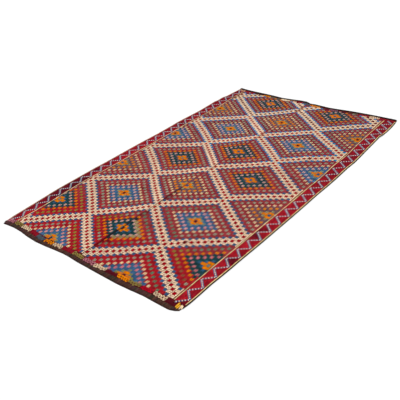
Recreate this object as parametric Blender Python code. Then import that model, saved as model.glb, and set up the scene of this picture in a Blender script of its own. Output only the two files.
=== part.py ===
"""A kilim rug, woven as two long panels that are sewn together down the middle.

Metres, +Z up. The rug lies on Z = 0 with its length along Y. The near end is at -Y and the left
side at -X. The origin is on the underside, at the middle of the rug.
"""

from collections import namedtuple
from math import cos, pi

import bmesh
import bpy
import numpy as np

# Driving dimensions, in metres. The real edges wander a little from a straight rectangle.
STRAIGHT_WIDTH = 1.650
STRAIGHT_LENGTH = 2.850
SEAM_ACROSS = 0.790            # where the middle seam runs, from the straight left edge
CORD_WIDTH = 0.009             # overcast cord along each long side
PANEL_THICKNESS = 0.0028
CORD_THICKNESS = 0.0038
BAND_THICKNESS = 0.0034
ROUNDED_EDGE_THICKNESS = 0.0024
GAP = 0.0003                   # between neighbouring pieces
MM = 0.001

PANEL_COLUMNS = 12             # divisions across each panel
BAND_ROWS = 3                  # divisions along the rug within each end band
LEAST_ROW = 0.010              # no row of the panels is narrower
SPOT_ROUNDS = 8                # the sides and ends depend on each other, so spots are refined

# The long sides and the seam, from the near end to the far end: how far each side stands out of
# straight, and how far the seam has drifted to the right.
SideStation = namedtuple("SideStation", "along_m left_out_mm seam_right_mm right_out_mm")
SIDES = [
    SideStation(0.000, 0, -8, -65),
    SideStation(0.008, 1, -8, -40),
    SideStation(0.020, 3, -8, -10),
    SideStation(0.037, 6, -8, 0),
    SideStation(0.065, 10, -8, 10),
    SideStation(0.120, 16, -8, 14),
    SideStation(0.200, 20, -7, 14),
    SideStation(0.300, 25, -7, 13),
    SideStation(0.380, 30, -7, 17),
    SideStation(0.460, 37, -6, 20),
    SideStation(0.550, 40, -6, 21),
    SideStation(0.650, 40, -5, 24),
    SideStation(0.780, 40, -4, 28),
    SideStation(0.840, 40, -3, 29),
    SideStation(0.900, 40, -3, 30),
    SideStation(0.960, 38, -2, 31),
    SideStation(1.020, 36, -2, 32),
    SideStation(1.150, 35, -1, 34),
    SideStation(1.300, 35, -1, 35),
    SideStation(1.450, 32, 0, 35),
    SideStation(1.600, 26, 2, 39),
    SideStation(1.700, 25, 3, 40),
    SideStation(1.800, 25, 3, 38),
    SideStation(1.900, 29, 4, 36),
    SideStation(2.000, 26, 5, 40),
    SideStation(2.100, 20, 5, 36),
    SideStation(2.200, 15, 6, 30),
    SideStation(2.320, 18, 7, 24),
    SideStation(2.430, 25, 8, 18),
    SideStation(2.475, 10, 8, 15),
    SideStation(2.520, 16, 8, 22),
    SideStation(2.565, 20, 9, 25),
    SideStation(2.610, 5, 9, 25),
    SideStation(2.700, 0, 10, 22),
    SideStation(2.780, -6, 14, 14),
    SideStation(2.820, -9, 24, 6),
    SideStation(2.850, -10, 32, 0),
]

# The two ends, from left to right: how far each stands out of straight, and the width of its
# dark band. The far end is drawn in at the seam.
EndStation = namedtuple("EndStation", "across_m near_out_mm near_band_mm far_out_mm far_band_mm")
ENDS = [
    EndStation(0.000, 2, 39, 11, 32),
    EndStation(0.070, -6, 34, -2, 30),
    EndStation(0.140, -10, 35, -7, 30),
    EndStation(0.210, -6, 34, -10, 30),
    EndStation(0.280, 3, 39, -11, 30),
    EndStation(0.350, 11, 33, -13, 30),
    EndStation(0.420, 10, 32, -16, 30),
    EndStation(0.500, 6, 32, -25, 28),
    EndStation(0.580, -1, 29, -20, 28),
    EndStation(0.650, -7, 29, -10, 30),
    EndStation(0.710, -7, 30, -1, 32),
    EndStation(0.750, -5, 32, 2, 32),
    EndStation(0.783, -2, 34, -5, 30),
    EndStation(0.805, -1, 33, -18, 24),
    EndStation(0.825, 0, 31, -32, 20),
    EndStation(0.850, 0, 31, -24, 24),
    EndStation(0.900, 1, 31, -20, 28),
    EndStation(0.970, 3, 33, -30, 28),
    EndStation(1.040, 4, 37, -31, 28),
    EndStation(1.110, 5, 40, -24, 30),
    EndStation(1.190, 6, 41, -13, 30),
    EndStation(1.270, 3, 43, -8, 30),
    EndStation(1.350, -5, 36, -4, 30),
    EndStation(1.430, -5, 38, -1, 30),
    EndStation(1.510, -3, 37, 0, 30),
    EndStation(1.580, -3, 34, 0, 30),
    EndStation(1.650, -4, 33, 0, 30),
]

# Low ripples where the cloth stands off the floor, placed from the straight near left corner.
Ripple = namedtuple("Ripple", "across_m along_m half_width_m half_length_m height_mm")
RIPPLES = [
    Ripple(0.783, 0.290, 0.050, 0.175, 5.0),     # pucker along the seam, near end
    Ripple(0.788, 0.900, 0.050, 0.130, 4.0),     # pucker along the seam, farther on
    Ripple(0.815, 2.800, 0.060, 0.080, 3.0),     # drawn-in far end of the seam
    Ripple(-0.015, 2.475, 0.060, 0.080, 3.0),    # kink in the left side
    Ripple(1.670, 2.500, 0.060, 0.070, 3.0),     # kink in the right side
]

# Colours seen on each piece
CRIMSON_WOOL = (0.420, 0.010, 0.030, 1.0)
WINE_WOOL = (0.330, 0.018, 0.040, 1.0)
DARK_BROWN_YARN = (0.045, 0.024, 0.020, 1.0)
TAN_YARN = (0.477, 0.274, 0.171, 1.0)
WOOL_ROUGHNESS = 0.90
YARN_ROUGHNESS = 0.95


def column(table, name):
    """One named column of a table, as an array."""
    return np.array([getattr(row, name) for row in table], dtype=float)


def smooth_curve(table, place_name, value_name):
    """A function of place that runs smoothly through a column of a table."""
    places = column(table, place_name)
    values = column(table, value_name)
    slopes = np.gradient(values, places)

    def curve(place):
        place = min(max(place, places[0]), places[-1])
        k = min(int(np.searchsorted(places, place, side="right")) - 1, len(places) - 2)
        span = places[k + 1] - places[k]
        t = (place - places[k]) / span
        start = values[k] * (1 + 2 * t) * (1 - t) ** 2 + slopes[k] * span * t * (1 - t) ** 2
        end = values[k + 1] * t * t * (3 - 2 * t) + slopes[k + 1] * span * t * t * (t - 1)
        return start + end

    return curve


left_out = smooth_curve(SIDES, "along_m", "left_out_mm")
seam_right = smooth_curve(SIDES, "along_m", "seam_right_mm")
right_out = smooth_curve(SIDES, "along_m", "right_out_mm")
near_out = smooth_curve(ENDS, "across_m", "near_out_mm")
near_band = smooth_curve(ENDS, "across_m", "near_band_mm")
far_out = smooth_curve(ENDS, "across_m", "far_out_mm")
far_band = smooth_curve(ENDS, "across_m", "far_band_mm")


def lines_across(along):
    """Left edge, left cord's inner line, seam, right cord's inner line and right edge."""
    left = -left_out(along) * MM
    right = STRAIGHT_WIDTH + right_out(along) * MM
    seam = SEAM_ACROSS + seam_right(along) * MM
    return [left, left + CORD_WIDTH, seam, right - CORD_WIDTH, right]


def lines_along(across):
    """Near edge, near band's inner line, far band's inner line and far edge."""
    near = -near_out(across) * MM
    far = STRAIGHT_LENGTH + far_out(across) * MM
    return [near, near + near_band(across) * MM, far - far_band(across) * MM, far]


def spot(across_place, along_place):
    """Where a place of the rug's own grid lies.

    Across, 0 to 4 counts the lines of lines_across, and along, 0 to 3 those of lines_along.
    """
    across = STRAIGHT_WIDTH / 2
    along = STRAIGHT_LENGTH / 2
    for _ in range(SPOT_ROUNDS):
        across = np.interp(across_place, range(5), lines_across(along))
        along = np.interp(along_place, range(4), lines_along(across))
    return across, along


def lift(across, along):
    """Height of the underside above the floor."""
    height = 0.0
    for ripple in RIPPLES:
        sideways = abs(across - ripple.across_m) / ripple.half_width_m
        lengthways = abs(along - ripple.along_m) / ripple.half_length_m
        if sideways < 1 and lengthways < 1:
            falloff = cos(pi / 2 * sideways) ** 2 * cos(pi / 2 * lengthways) ** 2
            height = max(height, ripple.height_mm * MM * falloff)
    return height


def panel_places():
    """Places across one panel, closer together at both of its sides."""
    return [(1 - cos(pi * k / PANEL_COLUMNS)) / 2 for k in range(PANEL_COLUMNS + 1)]


def station_places():
    """Places along the panels, one for each station of the sides that lies between the bands."""
    start = MM * (ENDS[0].near_band_mm - ENDS[0].near_out_mm)
    end = STRAIGHT_LENGTH - MM * ENDS[-1].far_band_mm
    between = [row.along_m for row in SIDES if start + LEAST_ROW < row.along_m < end - LEAST_ROW]
    return [1.0] + [1 + (along - start) / (end - start) for along in between] + [2.0]


def wool(name, colour, roughness):
    """A matt fabric material."""
    material = bpy.data.materials.new(name)
    material.use_nodes = True
    shader = material.node_tree.nodes["Principled BSDF"]
    shader.inputs["Base Color"].default_value = colour
    shader.inputs["Roughness"].default_value = roughness
    shader.inputs["Metallic"].default_value = 0.0
    material.diffuse_color = colour
    return material


def cloth_piece(name, across_places, along_places, thickness, edge_thickness, material):
    """A closed strip of cloth on the given places of the rug, thinner along its rim."""
    last_column = len(across_places) - 1
    last_row = len(along_places) - 1
    bm = bmesh.new()
    bmesh.ops.create_grid(bm, x_segments=last_column, y_segments=last_row, size=0.5)
    rim = bm.verts.layers.int.new("rim")
    for vert in bm.verts:
        k = round((vert.co.x + 0.5) * last_column)
        row = round((vert.co.y + 0.5) * last_row)
        across, along = spot(across_places[k], along_places[row])
        across += GAP / 2 * ((k == 0) - (k == last_column))
        along += GAP / 2 * ((row == 0) - (row == last_row))
        vert[rim] = k in (0, last_column) or row in (0, last_row)
        x = across - STRAIGHT_WIDTH / 2
        y = along - STRAIGHT_LENGTH / 2
        vert.co = (x, y, lift(across, along))
    top = bmesh.ops.extrude_face_region(bm, geom=bm.faces[:])["geom"]
    for vert in [element for element in top if isinstance(element, bmesh.types.BMVert)]:
        vert.co.z += edge_thickness if vert[rim] else thickness
    bmesh.ops.recalc_face_normals(bm, faces=bm.faces[:])
    bmesh.ops.triangulate(bm, faces=bm.faces[:])
    mesh = bpy.data.meshes.new(name)
    bm.to_mesh(mesh)
    bm.free()
    mesh.materials.append(material)
    piece = bpy.data.objects.new(name, mesh)
    rug.objects.link(piece)
    return piece


def make_panels():
    """The two woven panels, with the borders woven in."""
    inner = panel_places()
    along = station_places()
    cloth_piece(
        "panel_left", [1 + place for place in inner], along,
        PANEL_THICKNESS, PANEL_THICKNESS, wool("left panel wool", CRIMSON_WOOL, WOOL_ROUGHNESS))
    cloth_piece(
        "panel_right", [2 + place for place in inner], along,
        PANEL_THICKNESS, PANEL_THICKNESS, wool("right panel wool", WINE_WOOL, WOOL_ROUGHNESS))


def make_end_bands():
    """The dark bands across both ends, from one long side to the other."""
    inner = panel_places()
    across = [0, 0.5] + [1 + place for place in inner] + [2 + place for place in inner[1:]] + [3.5, 4]
    steps = [row / BAND_ROWS for row in range(BAND_ROWS + 1)]
    cloth_piece(
        "end_band_near", across, steps,
        BAND_THICKNESS, ROUNDED_EDGE_THICKNESS, wool("near band yarn", DARK_BROWN_YARN, YARN_ROUGHNESS))
    cloth_piece(
        "end_band_far", across, [2 + step for step in steps],
        BAND_THICKNESS, ROUNDED_EDGE_THICKNESS, wool("far band yarn", DARK_BROWN_YARN, YARN_ROUGHNESS))


def make_selvedges():
    """The overcast cords along the long sides, between the end bands."""
    along = station_places()
    cloth_piece(
        "selvedge_left", [0, 0.5, 1], along,
        CORD_THICKNESS, ROUNDED_EDGE_THICKNESS, wool("left cord yarn", TAN_YARN, YARN_ROUGHNESS))
    cloth_piece(
        "selvedge_right", [3, 3.5, 4], along,
        CORD_THICKNESS, ROUNDED_EDGE_THICKNESS, wool("right cord yarn", DARK_BROWN_YARN, YARN_ROUGHNESS))


for old in list(bpy.data.objects):
    bpy.data.objects.remove(old, do_unlink=True)
rug = bpy.data.collections.new("kilim rug")
bpy.context.scene.collection.children.link(rug)

make_panels()
make_end_bands()
make_selvedges()
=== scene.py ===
from collections import namedtuple
from math import pi, radians

import bmesh
import bpy
import numpy as np
from mathutils import Matrix, Vector


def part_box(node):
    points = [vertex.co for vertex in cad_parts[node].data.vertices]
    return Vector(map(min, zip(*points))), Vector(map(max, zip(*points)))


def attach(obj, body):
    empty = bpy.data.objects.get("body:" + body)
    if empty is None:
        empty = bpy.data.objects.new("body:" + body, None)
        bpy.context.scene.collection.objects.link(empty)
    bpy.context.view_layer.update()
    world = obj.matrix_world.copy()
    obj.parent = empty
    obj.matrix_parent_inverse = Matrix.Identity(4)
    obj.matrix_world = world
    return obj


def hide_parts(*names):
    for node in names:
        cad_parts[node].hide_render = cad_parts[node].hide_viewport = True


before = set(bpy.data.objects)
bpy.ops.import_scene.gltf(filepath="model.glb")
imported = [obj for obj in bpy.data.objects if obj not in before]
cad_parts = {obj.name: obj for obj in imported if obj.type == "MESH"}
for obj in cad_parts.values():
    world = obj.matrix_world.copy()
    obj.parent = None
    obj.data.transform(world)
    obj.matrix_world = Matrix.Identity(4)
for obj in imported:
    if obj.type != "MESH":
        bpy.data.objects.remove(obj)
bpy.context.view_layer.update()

# ---------------------------------------------------------------------------------------------
# Ground cloth of the two panels. Each is a long strip of weft-faced wool with coarse ribs that
# run the length of the rug. Diamonds of coloured ground are woven into it, and a plain red
# border with pale guard stripes runs along its outer side.

STRAIGHT_WIDTH = 1.650         # the straight rectangle that the rug's edges wander from
STRAIGHT_LENGTH = 2.850
HALF_WIDTH = STRAIGHT_WIDTH / 2
HALF_LENGTH = STRAIGHT_LENGTH / 2
OUTLINE_STATIONS = 140         # places at which an outline is read from the frame
OUTLINE_MARGIN = 0.037         # side lines are read this far from a panel's ends
BAND_MARGIN = 0.003            # end lines are read this far from a band's ends
CLOTH_THICKNESS = 0.0019       # at the valleys between ribs
RIB_HEIGHT = 0.0013
FINE_RIB_HEIGHT = 0.0009
LUMP_SHARE = 0.16              # how unevenly ribs stand, as a share of their height
ROW_WOBBLE = 0.0006            # how far a weft row strays from its line
RIB_WOBBLE = 0.0004
RIB_PLACES = (0.0, 0.17, 0.50, 0.83)  # mesh columns of one rib, and how high it stands there
RIB_PROFILE = (0.0, 0.82, 1.0, 0.82)
VALLEY_BELOW = 0.6             # a face lower than this share of the rib lies in a valley
PAINTED_VALLEY_SHADE = 0.34            # painted shade in the valleys between ribs, as a share of the colour on the ribs
RIBS_PER_COLUMN = 3
RIB_REACH = 0.2                # of a column, to the cells on both sides of a rib
FIRST_ROW, LAST_ROW = -0.5, 109.5
END_STEPS = 2                  # mesh rows between the motif rows and each end band
ROW_DYE = 0.06                 # unevenness of the dye, from row to row and from cell to cell
CELL_DYE = 0.12

# Where the motif columns and rows lie: places of five motif columns at every thirteenth row,
# across and along from the straight rectangle's near left corner.
MotifRow = namedtuple("MotifRow", "row x1 x2 x3 x4 x5 y1 y2 y3 y4 y5")
LEFT_COLUMNS = (-11, -5.5, 0, 5, 10)
LEFT_ROWS = [
    MotifRow(0, 0.114, 0.286, 0.453, 0.604, 0.754, 0.090, 0.083, 0.075, 0.078, 0.091),
    MotifRow(13, 0.102, 0.282, 0.458, 0.610, 0.754, 0.432, 0.428, 0.419, 0.420, 0.428),
    MotifRow(26, 0.097, 0.283, 0.463, 0.619, 0.758, 0.768, 0.764, 0.753, 0.753, 0.764),
    MotifRow(39, 0.098, 0.291, 0.474, 0.626, 0.765, 1.087, 1.090, 1.081, 1.074, 1.084),
    MotifRow(52, 0.106, 0.297, 0.479, 0.633, 0.769, 1.409, 1.407, 1.397, 1.393, 1.397),
    MotifRow(65, 0.112, 0.309, 0.488, 0.638, 0.774, 1.720, 1.717, 1.714, 1.709, 1.715),
    MotifRow(78, 0.124, 0.313, 0.492, 0.645, 0.780, 2.030, 2.030, 2.029, 2.026, 2.037),
    MotifRow(91, 0.132, 0.316, 0.490, 0.644, 0.785, 2.341, 2.336, 2.334, 2.333, 2.349),
    MotifRow(104, 0.147, 0.326, 0.500, 0.649, 0.790, 2.663, 2.651, 2.649, 2.654, 2.672),
]
RIGHT_COLUMNS = (-11, -5.5, 0, 5.5, 11)
RIGHT_ROWS = [
    MotifRow(0, 0.793, 0.984, 1.164, 1.346, 1.533, 0.082, 0.073, 0.072, 0.082, 0.094),
    MotifRow(13, 0.793, 0.981, 1.162, 1.350, 1.538, 0.421, 0.415, 0.416, 0.420, 0.422),
    MotifRow(26, 0.798, 0.980, 1.165, 1.353, 1.543, 0.759, 0.750, 0.747, 0.749, 0.750),
    MotifRow(39, 0.805, 0.984, 1.163, 1.351, 1.544, 1.080, 1.072, 1.070, 1.070, 1.064),
    MotifRow(52, 0.809, 0.988, 1.165, 1.355, 1.545, 1.391, 1.386, 1.384, 1.380, 1.374),
    MotifRow(65, 0.815, 0.995, 1.166, 1.350, 1.547, 1.711, 1.710, 1.710, 1.709, 1.705),
    MotifRow(78, 0.817, 0.996, 1.173, 1.358, 1.549, 2.031, 2.033, 2.033, 2.032, 2.031),
    MotifRow(91, 0.820, 0.997, 1.169, 1.348, 1.536, 2.341, 2.346, 2.345, 2.349, 2.352),
    MotifRow(104, 0.828, 0.993, 1.159, 1.337, 1.524, 2.655, 2.666, 2.673, 2.677, 2.677),
]

# Low folds that pull the weave aside: where, how far around, and how far they shift it.
Pull = namedtuple("Pull", "across_m along_m reach_m shift_across_m shift_along_m")
PULLS = [
    Pull(1.355, 1.872, 0.042, -0.010, 0.011),
    Pull(1.262, 0.525, 0.036, -0.006, 0.006),
]

# The pale stripe between field and border, at places along the rug.
Stripe = namedtuple("Stripe", "along_m left_x right_x")
INNER_STRIPE = [
    Stripe(0.00, 0.069, 1.565), Stripe(0.30, 0.069, 1.567), Stripe(0.48, 0.060, 1.568),
    Stripe(0.65, 0.052, 1.572), Stripe(0.80, 0.055, 1.573), Stripe(1.00, 0.065, 1.575),
    Stripe(1.30, 0.066, 1.580), Stripe(1.50, 0.070, 1.580), Stripe(1.70, 0.075, 1.583),
    Stripe(1.90, 0.071, 1.577), Stripe(2.05, 0.078, 1.582), Stripe(2.30, 0.085, 1.570),
    Stripe(2.42, 0.090, 1.566), Stripe(2.55, 0.080, 1.564), Stripe(2.85, 0.086, 1.560),
]
STRIPE_HALF_WIDTH = 0.0040     # the left stripe's
THIN_HALF_WIDTH = 0.0036       # the right one's
DARK_LINE_WIDTH = 0.0035       # beside the stripes, on the field's side
OUTER_LINE_WIDTH = 0.0020      # beside the right stripe, on the border's side
RIGHT_GUARD_WIDTH = 0.0060     # pale line next to the right cord

# Low ripples where the cloth stands off the floor, as in the frame.
Ripple = namedtuple("Ripple", "across_m along_m half_width_m half_length_m height_m")
RIPPLES = [
    Ripple(0.783, 0.290, 0.050, 0.175, 0.005),
    Ripple(0.788, 0.900, 0.050, 0.130, 0.004),
    Ripple(0.815, 2.800, 0.060, 0.080, 0.003),
    Ripple(-0.015, 2.475, 0.060, 0.080, 0.003),
    Ripple(1.670, 2.500, 0.060, 0.070, 0.003),
]

# Wool colours as seen, red, green and blue from 0 to 255.
WOOL = {
    "crimson": (177, 31, 41), "wine": (160, 57, 62), "old_wine": (144, 52, 61),
    "dark_wine": (98, 16, 30), "border_red": (190, 30, 44), "cream": (255, 222, 189),
    "lattice_ground": (156, 104, 80), "red_dash": (163, 2, 24), "dark_dash": (104, 10, 22),
    "blue": (50, 88, 126), "bright_blue": (0, 122, 176), "soft_blue": (60, 108, 146),
    "dull_mauve": (122, 96, 110), "denim": (66, 103, 142), "teal": (34, 70, 76),
    "mauve": (118, 82, 92), "sage": (157, 177, 151), "green": (92, 148, 116),
    "olive": (163, 165, 110), "moss": (156, 150, 62), "tan": (168, 146, 98),
    "umber": (150, 98, 66), "orange": (255, 146, 0), "flame": (225, 123, 0),
    "straw": (249, 230, 175), "pink": (254, 167, 157), "pale_pink": (246, 185, 169),
    "rose": (234, 130, 135), "shell": (235, 180, 166), "burgundy": (88, 8, 15),
    "night": (40, 70, 78), "grey": (116, 124, 118), "brown": (66, 45, 39),
    "salmon": (246, 206, 160), "apricot": (255, 212, 156), "pale_gold": (255, 222, 160),
}

# Each diamond: its middle, the ground inside its ring of pale dashes, the dashes at six, four
# and two steps from the middle, and the heart of its flower. Most are of one of four kinds.
Diamond = namedtuple("Diamond", "column row ground six four two heart")
DENIM = ("denim", "straw", "pale_pink", "olive")
MAUVE = ("mauve", "straw", "orange", "olive")
NEAR_TEAL = ("teal", "orange", "shell", "soft_blue")
FAR_TEAL = ("teal", "orange", "shell", "dull_mauve")
LEFT_DIAMONDS = [
    Diamond(0, 0, "denim", "straw", "pink", "olive", "night"), Diamond(0, 26, *DENIM, "burgundy"),
    Diamond(0, 52, *FAR_TEAL, "grey"), Diamond(0, 78, *DENIM, "burgundy"),
    Diamond(0, 104, *FAR_TEAL, "blue"), Diamond(-11, 13, *NEAR_TEAL, "grey"),
    Diamond(-11, 39, *MAUVE, "blue"), Diamond(-11, 65, *DENIM, "burgundy"),
    Diamond(-11, 91, *MAUVE, "burgundy"), Diamond(11, 13, *NEAR_TEAL, "grey"),
    Diamond(11, 39, *MAUVE, "blue"), Diamond(11, 65, *FAR_TEAL, "blue"),
    Diamond(11, 91, *MAUVE, "burgundy"), Diamond(-11, 117, *FAR_TEAL, "grey"),
    Diamond(11, 117, *FAR_TEAL, "grey"),
]
RIGHT_DIAMONDS = [
    Diamond(0, 0, "denim", "straw", "rose", "moss", "burgundy"),
    Diamond(0, 26, "denim", "straw", "pink", "olive", "burgundy"),
    Diamond(0, 52, *FAR_TEAL, "blue"), Diamond(0, 78, *DENIM, "burgundy"),
    Diamond(0, 104, *FAR_TEAL, "blue"), Diamond(-11, 13, *NEAR_TEAL, "burgundy"),
    Diamond(-11, 39, *MAUVE, "blue"), Diamond(-11, 65, *FAR_TEAL, "blue"),
    Diamond(-11, 91, *MAUVE, "burgundy"),
    Diamond(11, 13, "teal", "orange", "rose", "soft_blue", "grey"),
    Diamond(11, 39, *MAUVE, "blue"), Diamond(11, 65, *DENIM, "blue"),
    Diamond(11, 91, *MAUVE, "burgundy"), Diamond(-11, 117, *FAR_TEAL, "grey"),
    Diamond(11, 117, *FAR_TEAL, "grey"),
]

# Stretches of a ring where the weaver took up another wool: the diamond, the ring, the columns
# to either side of the diamond's middle, and which half of the diamond.
Stretch = namedtuple("Stretch", "column row ring first last half wool")
LEFT_STRETCHES = [
    Stretch(0, 0, 8, 1, 8, "both", "moss"), Stretch(-11, 13, 8, 0, 8, "both", "moss"),
    Stretch(11, 13, 8, -8, -4, "both", "moss"),
]
RIGHT_STRETCHES = [
    Stretch(0, 0, 8, 0, 8, "both", "green"), Stretch(-11, 13, 8, -1, 5, "both", "green"),
    Stretch(-11, 13, 8, 6, 8, "both", "sage"), Stretch(-11, 39, 8, -8, 0, "both", "grey"),
    Stretch(0, 26, 8, -8, 0, "both", "green"), Stretch(-11, 13, 5, 1, 5, "both", "tan"),
    Stretch(11, 13, 8, -8, -6, "far", "moss"), Stretch(11, 13, 8, -5, 0, "far", "green"),
    Stretch(11, 13, 8, -8, -5, "near", "moss"), Stretch(11, 13, 8, -4, -1, "near", "umber"),
]
RED_RING = 6                   # rings from here out have red ground
CREAM_RING = 11                # and from here out they belong to the cream lattice

# The red of the field changes along the rug, as one dye lot follows another: where each lot
# is reached at the left side, at the seam and at the right side.
RedLot = namedtuple("RedLot", "left_m seam_m right_m wool")
RED_LOTS = [
    RedLot(0.48, 0.38, 0.34, "crimson"), RedLot(0.64, 0.54, 0.50, "wine"),
    RedLot(1.50, 1.50, 1.60, "wine"), RedLot(2.10, 2.10, 2.20, "old_wine"),
]

# Dark wine in the borders' bright red, as a share, between zigzag and stripe (inner) and
# between zigzag and cord (outer).
BorderLot = namedtuple("BorderLot", "along_m left_inner left_outer right_inner right_outer")
BORDER_LOTS = [
    BorderLot(0.06, 0.50, 0.65, 0.50, 0.80), BorderLot(0.12, 0.15, 0.70, 0.00, 0.70),
    BorderLot(0.27, 0.25, 0.65, 0.05, 0.30), BorderLot(0.34, 0.75, 0.75, 0.00, 0.35),
    BorderLot(0.49, 1.00, 0.95, 0.15, 0.30), BorderLot(0.53, 0.95, 0.90, 0.45, 1.00),
    BorderLot(0.60, 1.00, 0.95, 0.10, 0.50), BorderLot(0.76, 0.95, 0.90, 0.25, 0.25),
    BorderLot(0.82, 0.40, 0.65, 0.95, 0.55), BorderLot(0.90, 0.50, 1.00, 0.85, 0.15),
    BorderLot(0.96, 0.45, 0.60, 0.05, 0.30), BorderLot(1.40, 0.20, 0.40, 0.30, 0.35),
    BorderLot(1.86, 0.60, 0.55, 0.60, 0.50), BorderLot(1.91, 1.00, 0.75, 0.55, 0.60),
    BorderLot(1.96, 0.50, 0.60, 0.65, 0.65), BorderLot(2.10, 0.35, 0.50, 0.55, 0.65),
    BorderLot(2.25, 0.50, 0.55, 0.40, 0.55), BorderLot(2.80, 0.70, 0.70, 0.60, 0.65),
]

# Creases where the cloth is pinched beside the seam: a line from its start to its stop, how wide it is,
# and how dark its painted shade is at its middle, as a share.
Crease = namedtuple("Crease", "start_x start_y stop_x stop_y width shade")
CREASES = [
    Crease(0.784, 0.150, 0.784, 0.470, 0.020, 0.50), Crease(0.790, 0.270, 0.905, 0.245, 0.016, 0.40),
    Crease(0.784, 0.820, 0.786, 1.035, 0.024, 0.45), Crease(0.515, 0.878, 0.626, 0.884, 0.014, 0.50),
    Crease(0.612, 0.882, 0.740, 0.906, 0.014, 0.50), Crease(0.725, 0.905, 0.800, 0.890, 0.014, 0.50),
    Crease(0.101, 1.027, 0.205, 1.018, 0.014, 0.50), Crease(0.190, 1.019, 0.302, 1.009, 0.014, 0.50),
    Crease(0.800, 2.560, 0.806, 2.780, 0.026, 0.60), Crease(0.260, 1.560, 0.400, 1.500, 0.012, 0.60),
    Crease(1.262, 0.530, 1.290, 0.640, 0.014, 0.60),
]
CREASE_DEPTH = 0.0010

# A panel's side, its motif places and its first and last columns of dashes, its diamonds and
# where they change wool, the corners of its border's zigzag, its strips and the lines between.
Panel = namedtuple(
    "Panel", "side rows columns first last diamonds stretches corners strips lines_at")


def linear(name):
    """A wool colour in linear light, worked out from how it looks."""
    seen = np.array(WOOL[name]) / 255
    return np.where(seen <= 0.04045, seen / 12.92, ((seen + 0.055) / 1.055) ** 2.4)


def smooth(places, values, at):
    """Values between stations on a smooth curve, and straight on past its ends."""
    places = np.array(places, dtype=float)
    values = np.array(values, dtype=float)
    slopes = np.gradient(values, places)
    inside = np.clip(at, places[0], places[-1])
    k = np.clip(np.searchsorted(places, inside, side="right") - 1, 0, len(places) - 2)
    span = places[k + 1] - places[k]
    t = (inside - places[k]) / span
    start = values[k] * (1 + 2 * t) * (1 - t) ** 2 + slopes[k] * span * t * (1 - t) ** 2
    end = values[k + 1] * t * t * (3 - 2 * t) + slopes[k + 1] * span * t * t * (t - 1)
    beyond = at - inside
    return start + end + beyond * np.where(beyond < 0, slopes[0], slopes[-1])


def motif_place(panel, i, j):
    """Where motif column i and row j meet, in the row's own frame."""
    numbers = [r.row for r in panel.rows]
    x, y = -HALF_WIDTH, -HALF_LENGTH
    for n, share in enumerate(np.eye(len(panel.columns)), start=1):
        weight = smooth(panel.columns, share, i)
        x = x + weight * smooth(numbers, [getattr(r, f"x{n}") for r in panel.rows], j)
        y = y + weight * smooth(numbers, [getattr(r, f"y{n}") for r in panel.rows], j)
    for pull in PULLS:
        away = np.hypot(x + HALF_WIDTH - pull.across_m, y + HALF_LENGTH - pull.along_m)
        share = np.exp(-(away / pull.reach_m) ** 2)
        x = x + share * pull.shift_across_m
        y = y + share * pull.shift_along_m
    return x, y


def outline(node, axis, highest, margin):
    """A side of a frame node as a line: the other coordinate at places along an axis."""
    low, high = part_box(node)
    stations = np.linspace(low[axis] + margin, high[axis] - margin, OUTLINE_STATIONS)
    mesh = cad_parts[node].data
    corners = np.array([v.co for v in mesh.vertices])
    ends = corners[np.array([e.vertices[:] for e in mesh.edges])]
    places = []
    for station in stations:
        crossing = ends[(ends[:, 0, axis] - station) * (ends[:, 1, axis] - station) < 0]
        share = (station - crossing[:, 0, axis]) / (crossing[:, 1, axis] - crossing[:, 0, axis])
        other = crossing[:, 0, 1 - axis] * (1 - share) + crossing[:, 1, 1 - axis] * share
        places.append(other.max() if highest else other.min())
    return lambda at: np.interp(at, stations, places)


def lift(x, y):
    """Height of the underside above the floor, in the row's own frame."""
    across = x + HALF_WIDTH
    along = y + HALF_LENGTH
    height = np.zeros(np.shape(x))
    for ripple in RIPPLES:
        sideways = np.clip(abs(across - ripple.across_m) / ripple.half_width_m, 0, 1)
        lengthways = np.clip(abs(along - ripple.along_m) / ripple.half_length_m, 0, 1)
        falloff = np.cos(pi / 2 * sideways) ** 2 * np.cos(pi / 2 * lengthways) ** 2
        height = np.maximum(height, ripple.height_m * falloff)
    return height


def ring_of(diamonds, i, j):
    """Steps from each cell to the nearest diamond's middle, and which diamond that is."""
    steps = np.array([abs(i - d.column) + abs(j - d.row) for d in diamonds])
    return steps.min(axis=0), steps.argmin(axis=0)


def red_ground(across, along):
    """The red of the field at places from the straight near left corner."""
    lots = np.array([linear(lot.wool) for lot in RED_LOTS])
    at_sides = []
    for side in ("left", "seam", "right"):
        places = [getattr(lot, f"{side}_m") for lot in RED_LOTS]
        at_sides.append(np.interp(along, places, np.arange(len(RED_LOTS))))
    reached = np.where(
        across < HALF_WIDTH,
        at_sides[0] + (at_sides[1] - at_sides[0]) * across / HALF_WIDTH,
        at_sides[1] + (at_sides[2] - at_sides[1]) * (across / HALF_WIDTH - 1))
    numbers = np.arange(len(RED_LOTS))
    return np.stack([np.interp(reached, numbers, channel) for channel in lots.T], axis=1)


def crease(x, y):
    """How near places lie to the middle of a crease, from 0 to 1, and how dark the crease's painted
    shade makes them.
    """
    near = np.zeros(np.shape(x))
    shade = np.ones(np.shape(x))
    for fold in CREASES:
        start = np.array([fold.start_x - HALF_WIDTH, fold.start_y - HALF_LENGTH])
        way = np.array([fold.stop_x - HALF_WIDTH, fold.stop_y - HALF_LENGTH]) - start
        length = np.hypot(*way)
        along = ((x - start[0]) * way[0] + (y - start[1]) * way[1]) / length
        aside = ((x - start[0]) * way[1] - (y - start[1]) * way[0]) / length
        ends = np.clip(along / length, 0, 1)
        reach = np.clip(1 - 2 * abs(aside) / fold.width, 0, 1) * np.sin(pi * ends) ** 0.5
        near = np.maximum(near, reach)
        shade = shade * (1 - (1 - fold.shade) * reach)
    return near, shade


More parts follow.
